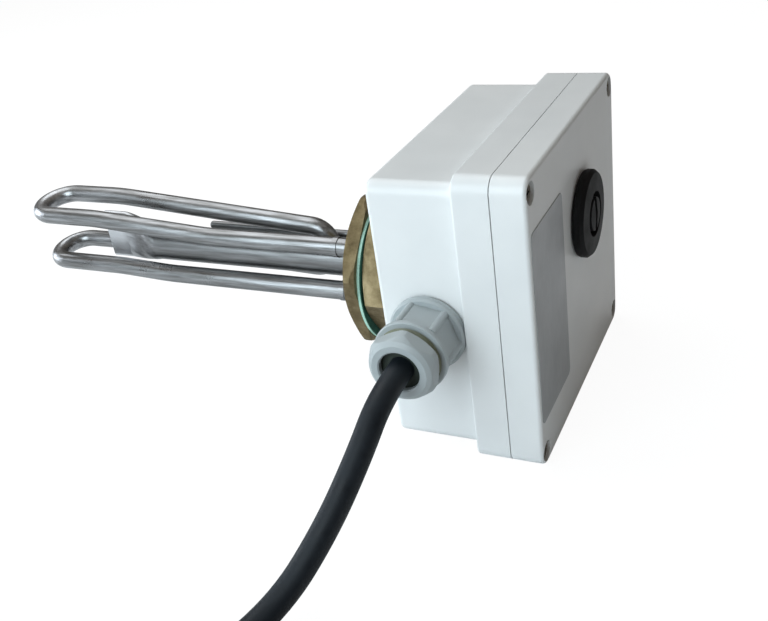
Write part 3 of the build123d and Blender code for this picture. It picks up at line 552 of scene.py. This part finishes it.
# %% [markdown]
# ## The supply cord
#
# The cord is round rubber cable, 9.5 mm thick. It leaves the gland, drops to the floor and runs
# out of the picture. The rest of its length is put away in a coil, and a plug ends it. A curve
# with a round section is the natural way to make it. The control points of its first stretch
# repeat the solid model's route in millimetres, and each turn of the coil has fifteen points.

# %% Cord route
CORD_DIAMETER = 9.5 * MM
CORD_RADIUS = CORD_DIAMETER / 2
CORD_CLEARANCE = 1.0 * MM
cord_z = FLOOR_Z + CORD_RADIUS + CORD_CLEARANCE
route = [
    (42.2, -84.5, 4.5),
    (42.2, -103.0, 4.5),
    (40.2, -120.0, -8.0),
    (34.7, -140.0, -25.0),
    (25.7, -162.0, -41.0),
    (11.7, -190.0, cord_z / MM),
]
cord_points = [Vector(point) * MM for point in route]
coil_low, coil_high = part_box("cord_coil")
coil_x = (coil_low[0] + coil_high[0]) / 2
coil_y = (coil_low[1] + coil_high[1]) / 2
outer_turn = (coil_high[0] - coil_low[0]) / 2 - CORD_RADIUS
print("coil centre", round(coil_x / MM, 2), round(coil_y / MM, 2), "outer turn", round(outer_turn / MM, 2))

# %% [markdown]
# The coil is wound as a person winds a lead: once round outside, once round inside, up onto the
# second layer inside, and out again. Each change of place comes a little earlier in the turn than
# the one before it, so that the cord never has to pass through itself.

# %% Coil route
TURN_STEP = 24
COIL_DEGREES = 1200
LAYER = CORD_DIAMETER
GO_INSIDE = (300, 360)
CLIMB = (600, 660)
GO_OUTSIDE = (900, 960)
start_direction = Vector((-12.7, -27.0, 0.0)).normalized()
start_angle = math.atan2(start_direction.y, start_direction.x) - math.pi / 2


def eased(degrees, begin, end):
    """0 before begin, 1 after end, smooth between."""
    share = min(max((degrees - begin) / (end - begin), 0.0), 1.0)
    return share * share * (3 - 2 * share)


def coil_place(degrees, spread=1.0):
    """The cord's centre after this many degrees of winding."""
    inward = eased(degrees, *GO_INSIDE) - eased(degrees, *GO_OUTSIDE)
    radius = (outer_turn - LAYER * inward) * spread
    angle = start_angle + math.radians(degrees)
    height = cord_z + LAYER * eased(degrees, *CLIMB)
    return Vector((coil_x + radius * math.cos(angle), coil_y + radius * math.sin(angle), height))


half_step = TURN_STEP / 2
circle_spread = 1 / math.cos(math.radians(half_step))
tangent_run = outer_turn * math.tan(math.radians(half_step))
cord_points.append(coil_place(0) - start_direction * tangent_run)
for winding in range(0, COIL_DEGREES, TURN_STEP):
    cord_points.append(coil_place(winding + half_step, circle_spread))
print("control points so far:", len(cord_points))

# %% Tail to the plug
TAIL_RUN = 21.0
TAIL_SIDE = 2.0
TAIL_LIFT = 0.4
plug_low, plug_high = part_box("plug_body")
plug_y = (plug_low[1] + plug_high[1]) / 2
plug_z = (plug_low[2] + plug_high[2]) / 2
leaving = coil_place(COIL_DEGREES)
leave_angle = start_angle + math.radians(COIL_DEGREES) + math.pi / 2
leave_direction = Vector((math.cos(leave_angle), math.sin(leave_angle), 0.0))
cord_points.append(leaving + leave_direction * tangent_run)
cord_points.append(leaving + Vector((TAIL_RUN, TAIL_SIDE, TAIL_LIFT)) * MM)
cord_points.append(Vector((leaving.x + 2 * TAIL_RUN * MM, plug_y, plug_z)))
cord_points.append(Vector((plug_low[0], plug_y, plug_z)))
print("control points in all:", len(cord_points))

# %% Cord curve
cord_curve = bpy.data.curves.new("supply_cord_run", "CURVE")
cord_curve.dimensions = "3D"
cord_curve.bevel_depth = CORD_RADIUS
cord_curve.bevel_resolution = 8
cord_curve.use_fill_caps = True
cord_spline = cord_curve.splines.new("NURBS")
cord_spline.points.add(len(cord_points) - 1)
for control, place in zip(cord_spline.points, cord_points):
    control.co = (*place, 1.0)
cord_spline.order_u = 3
cord_spline.use_endpoint_u = True
cord_spline.resolution_u = 8
cord = bpy.data.objects.new("supply_cord_run", cord_curve)
bpy.context.collection.objects.link(cord)
polygon_length = sum((b - a).length for a, b in zip(cord_points, cord_points[1:]))
print("control polygon", round(polygon_length, 3), "m")

# %% Rubber sheath


def rubber_sheath():
    """Black rubber sheath: matt, with a fine grain and dusty patches."""
    material, tree, shader, place = new_finish("cord_rubber", 0.5, specular=0.3)
    dust = noise_of(tree, place, 7.0, 6.0)
    tones = [(0.3, (0.006, 0.009, 0.013)), (0.75, (0.012, 0.017, 0.023))]
    tree.links.new(ramp_of(tree, dust, tones), shader.inputs["Base Color"])
    tree.links.new(range_of(tree, dust, 0.44, 0.62), shader.inputs["Roughness"])
    bump_of(tree, shader, noise_of(tree, place, 0.7, 3.0), 0.03)
    return material


cord_rubber = rubber_sheath()
cord_curve.materials.append(cord_rubber)
dress(cord_rubber, "cable_entry", "supply_cord", "cord_coil", "cord_tail", "plug_body")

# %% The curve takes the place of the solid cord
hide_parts("supply_cord", "cord_coil", "cord_tail")
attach(cord, "root")

# %% [markdown]
# ## Turned nuts
#
# A nut is a hexagonal bar that was turned in a lathe: a cone trims its corners to a circle, and
# where the cone meets a flat it leaves the curved edge that every nut has. So a nut can be one
# grid of points. Each point takes its radius from the turned profile or from the flat under it,
# whichever is less. The same grid without flats makes rings, such as the gland's thread.

# %% Turned piece
ROUND_STEPS = 144
LONGEST_STEP = 0.7
SHARP_DEGREES = 18


def flat_radius(size, corner, degrees):
    """Distance to a hexagon's outline in this direction; corner is where one corner points."""
    off_middle = (degrees - corner) % 60 - 30
    return size / 2 / math.cos(math.radians(off_middle))


def finer(profile):
    """The closed profile with extra points, so that trimmed corners stay sharp."""
    points = []
    for start, end in zip(profile, profile[1:] + profile[:1]):
        cuts = max(1, math.ceil(math.dist(start, end) / LONGEST_STEP))
        for cut in range(cuts):
            points.append([a + (b - a) * cut / cuts for a, b in zip(start, end)])
    return points


def turned_piece(name, profile, origin, forward, side, size=None, corner=0.0, steps=ROUND_STEPS):
    """A closed profile of (along, radius) in millimetres, turned and cut by a hexagon's flats."""
    forward = Vector(forward)
    side = Vector(side)
    up = Vector((0, 0, 1))
    work = bmesh.new()
    rings = []
    for along, radius in finer(profile):
        ring = []
        for step in range(steps):
            degrees = 360 * step / steps
            reach = radius if size is None else min(radius, flat_radius(size, corner, degrees))
            turn = math.radians(degrees)
            across = side * math.cos(turn) + up * math.sin(turn)
            ring.append(work.verts.new(Vector(origin) + (forward * along + across * reach) * MM))
        rings.append(ring)
    for ring, following in zip(rings, rings[1:] + rings[:1]):
        for i in range(steps):
            j = (i + 1) % steps
            work.faces.new((ring[i], ring[j], following[j], following[i]))
    bmesh.ops.recalc_face_normals(work, faces=work.faces)
    mesh = bpy.data.meshes.new(name)
    work.to_mesh(mesh)
    work.free()
    mesh.shade_smooth()
    mesh.set_sharp_from_angle(angle=math.radians(SHARP_DEGREES))
    piece = bpy.data.objects.new(name, mesh)
    bpy.context.collection.objects.link(piece)
    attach(piece, "root")
    print(name, "has", len(mesh.polygons), "faces")
    return piece


# %% [markdown]
# The backnut is the large brass nut behind the tank wall. Each profile point gives a distance
# along the axis and a radius, and the hexagon's size is measured across its flats. The solid's
# corners are sharper than the real ones, so this nut takes its place.

# %% Backnut with trimmed corners
BACKNUT_SIZE = 64.0
BACKNUT_CORNER = 46.0
BACKNUT_BORE = 23.4
BACK_FACE = 31.4
FRONT_FACE = 34.2
TRIMMED_REACH = 36.1
BACK_CONE = 2.6
FRONT_CONE = 1.5
nut_low, nut_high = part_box("backnut")
nut_back = nut_low[0] / MM
nut_front = nut_high[0] / MM
backnut_profile = [
    (nut_back, BACKNUT_BORE),
    (nut_back, BACK_FACE),
    (nut_back + BACK_CONE, TRIMMED_REACH),
    (nut_front - FRONT_CONE, TRIMMED_REACH),
    (nut_front, FRONT_FACE),
    (nut_front, BACKNUT_BORE),
]
trimmed_backnut = turned_piece(
    "trimmed_backnut", backnut_profile, (0, 0, 0), (1, 0, 0), (0, 1, 0), BACKNUT_SIZE, BACKNUT_CORNER
)
trimmed_backnut.data.materials.append(plain_brass)
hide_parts("backnut")

# %% [markdown]
# The gland is the same idea along another axis. Its body is a hexagonal barrel with a round rib at
# each corner, then a rim, a short stretch of bare thread and the nut that squeezes the seal.
# Distances are in millimetres outward from the box's wall.

# %% Gland body
GLAND_SIZE = 24.6
GLAND_CORNER = 50.0
GLAND_BORE = 8.4
GLAND_INNER_END = -9.0
WALL_HOLE = 12.3
FLANGE_END = 4.0
FLANGE_REACH = 15.2
BARREL_REACH = 14.2
RIB_REACH = 13.2
RIB_RADIUS = 1.5
RIB_CORE = 0.05
RIM_START = 17.5
RIM_END = 19.7
RIM_REACH = 14.5
RIM_EDGE = 0.4
THREAD_RADIUS = 11.8
THREAD_END = 25.6
ring_low, ring_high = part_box("gland_ring")
gland_origin = Vector(((ring_low[0] + ring_high[0]) / 2, ring_high[1], (ring_low[2] + ring_high[2]) / 2))
OUTWARD = (0, -1, 0)
ALONG_BOX = (1, 0, 0)
barrel_profile = [
    (GLAND_INNER_END, GLAND_BORE),
    (GLAND_INNER_END, WALL_HOLE),
    (FLANGE_END - 0.5, WALL_HOLE),
    (FLANGE_END - 0.5, BARREL_REACH),
    (RIM_START, BARREL_REACH),
    (RIM_START, THREAD_RADIUS),
    (THREAD_END, THREAD_RADIUS),
    (THREAD_END, GLAND_BORE),
]
flange_profile = [
    (1.0, WALL_HOLE + 0.1),
    (1.0, FLANGE_REACH),
    (FLANGE_END - 0.8, FLANGE_REACH),
    (FLANGE_END, FLANGE_REACH - 0.8),
    (FLANGE_END, WALL_HOLE + 0.1),
]
rim_profile = [
    (RIM_START - 0.1, THREAD_RADIUS + 0.1),
    (RIM_START - 0.1, RIM_REACH - RIM_EDGE),
    (RIM_START + 0.3, RIM_REACH),
    (RIM_END - RIM_EDGE, RIM_REACH),
    (RIM_END, RIM_REACH - RIM_EDGE),
    (RIM_END, THREAD_RADIUS + 0.1),
]
rib_profile = [
    (FLANGE_END - 0.1, RIB_CORE),
    (FLANGE_END - 0.1, RIB_RADIUS),
    (RIM_START, RIB_RADIUS),
    (RIM_START, RIB_CORE),
]
gland_barrel = turned_piece(
    "gland_barrel", barrel_profile, gland_origin, OUTWARD, ALONG_BOX, GLAND_SIZE, GLAND_CORNER
)
gland_pieces = [gland_barrel]
gland_pieces.append(turned_piece("gland_flange", flange_profile, gland_origin, OUTWARD, ALONG_BOX))
gland_pieces.append(turned_piece("gland_rim", rim_profile, gland_origin, OUTWARD, ALONG_BOX))
for rib in range(6):
    turn = math.radians(GLAND_CORNER + 60 * rib)
    away = Vector((math.cos(turn), 0, math.sin(turn))) * RIB_REACH * MM
    gland_pieces.append(
        turned_piece(f"gland_rib_{rib}", rib_profile, gland_origin + away, OUTWARD, ALONG_BOX, steps=32)
    )
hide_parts("gland_body")

# %% Gland nut and the thread before it
GLAND_NUT_SIZE = 25.0
GLAND_NUT_CORNER = 24.0
NUT_START = 22.4
NUT_END = 30.0
NUT_THREAD = 11.95
NUT_REACH = 13.8
NUT_MOUTH = 7.9
NUT_LIP = 2.4
THREAD_PITCH_SHOWN = 0.85
THREAD_RIDGE = 0.8
THREAD_RIDGES = 3
cap_profile = [
    (NUT_START, NUT_THREAD),
    (NUT_START, NUT_REACH - 1.2),
    (NUT_START + 0.9, NUT_REACH),
    (NUT_END - 3.8, NUT_REACH),
    (NUT_END - 1.2, NUT_REACH - 1.6),
    (NUT_END, NUT_REACH - 3.1),
    (NUT_END, NUT_MOUTH + 0.5),
    (NUT_END - 0.5, NUT_MOUTH),
    (NUT_END - NUT_LIP, NUT_MOUTH),
    (NUT_END - NUT_LIP, NUT_THREAD),
]
thread_profile = [(RIM_END - 0.2, THREAD_RADIUS)]
for ridge in range(THREAD_RIDGES):
    valley = RIM_END + 0.1 + THREAD_PITCH_SHOWN * ridge
    thread_profile.append((valley, THREAD_RADIUS + 0.1))
    thread_profile.append((valley + THREAD_PITCH_SHOWN / 2, THREAD_RADIUS + THREAD_RIDGE))
thread_profile += [(NUT_START + 0.3, THREAD_RADIUS + 0.1), (NUT_START + 0.3, THREAD_RADIUS)]
gland_cap = turned_piece(
    "gland_cap", cap_profile, gland_origin, OUTWARD, ALONG_BOX, GLAND_NUT_SIZE, GLAND_NUT_CORNER
)
gland_pieces.append(gland_cap)
for piece in gland_pieces:
    piece.data.materials.append(grey_plastic)
gland_thread = turned_piece("gland_thread", thread_profile, gland_origin, OUTWARD, ALONG_BOX)
thread_tones = [(0.17, 0.18, 0.12), (0.24, 0.25, 0.17)]
thread_plastic = moulded_plastic("thread_plastic", thread_tones, roughness=0.4, grain=0.4, depth=0.02)
gland_thread.data.materials.append(thread_plastic)
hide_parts("gland_nut")

# %% [markdown]
# ## The rating plate
#
# The lid carries a thin self-adhesive plate of silver foil, here bare. It is a sheet with rounded
# corners, a quarter of a millimetre thick, so its edge catches a thin line of light. A flat
# bevelled sheet is enough: nothing about it is deep.

# %% Rating plate
PLATE_LOW = (-59.0, -32.0)
PLATE_HIGH = (-21.0, 47.8)
PLATE_CORNER = 2.5
PLATE_THICKNESS = 0.25 * MM
EDGE_SHARE = 0.6
EDGE_INSET = 0.12
lid_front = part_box("lid")[1][0]


def rounded_outline(low, high, corner, per_corner=6):
    """Points round a rectangle with rounded corners, in millimetres."""
    centres = [
        (high[0] - corner, high[1] - corner, 0),
        (low[0] + corner, high[1] - corner, 90),
        (low[0] + corner, low[1] + corner, 180),
        (high[0] - corner, low[1] + corner, 270),
    ]
    outline = []
    for y, z, begin in centres:
        for step in range(per_corner + 1):
            angle = math.radians(begin + 90 * step / per_corner)
            outline.append((y + corner * math.cos(angle), z + corner * math.sin(angle)))
    return outline


def flat_plate(name, outline, base, thickness, inset):
    """A thin plate on the lid, its front edge chamfered by the inset."""
    middle_y = sum(y for y, z in outline) / len(outline)
    middle_z = sum(z for y, z in outline) / len(outline)
    work = bmesh.new()
    rings = []
    for x, shrink in ((base, 0.0), (base + thickness * EDGE_SHARE, 0.0), (base + thickness, inset)):
        ring = []
        for y, z in outline:
            away = Vector((y - middle_y, z - middle_z))
            away *= 1 - shrink / away.length
            ring.append(work.verts.new((x, (middle_y + away.x) * MM, (middle_z + away.y) * MM)))
        rings.append(ring)
    count = len(outline)
    for lower, upper in zip(rings, rings[1:]):
        for i in range(count):
            work.faces.new((lower[i], lower[(i + 1) % count], upper[(i + 1) % count], upper[i]))
    work.faces.new(rings[-1])
    work.faces.new(list(reversed(rings[0])))
    mesh = bpy.data.meshes.new(name)
    work.to_mesh(mesh)
    work.free()
    plate = bpy.data.objects.new(name, mesh)
    bpy.context.collection.objects.link(plate)
    return plate


plate_outline = rounded_outline(PLATE_LOW, PLATE_HIGH, PLATE_CORNER)
rating_plate = flat_plate("rating_plate", plate_outline, lid_front, PLATE_THICKNESS, EDGE_INSET)
print("rating plate has", len(rating_plate.data.vertices), "points")

# %% Plate finish


def silver_foil():
    """Silver-grey foil with a satin grain along Z and faint handling marks."""
    material, tree, shader, place = new_finish("silver_foil", 0.42, metallic=0.55)
    grain = noise_of(tree, stretched(tree, place, (1.0, 1.0, 0.04)), 0.35, 3.0)
    marks = noise_of(tree, place, 16.0, 5.0)
    tones = [(0.3, (0.40, 0.41, 0.42)), (0.7, (0.48, 0.49, 0.50))]
    tree.links.new(ramp_of(tree, marks, tones), shader.inputs["Base Color"])
    tree.links.new(range_of(tree, grain, 0.34, 0.5), shader.inputs["Roughness"])
    bump_of(tree, shader, grain, 0.01)
    return material


rating_plate.data.materials.append(silver_foil())
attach(rating_plate, "root")
print("plate finish:", rating_plate.data.materials[0].name)
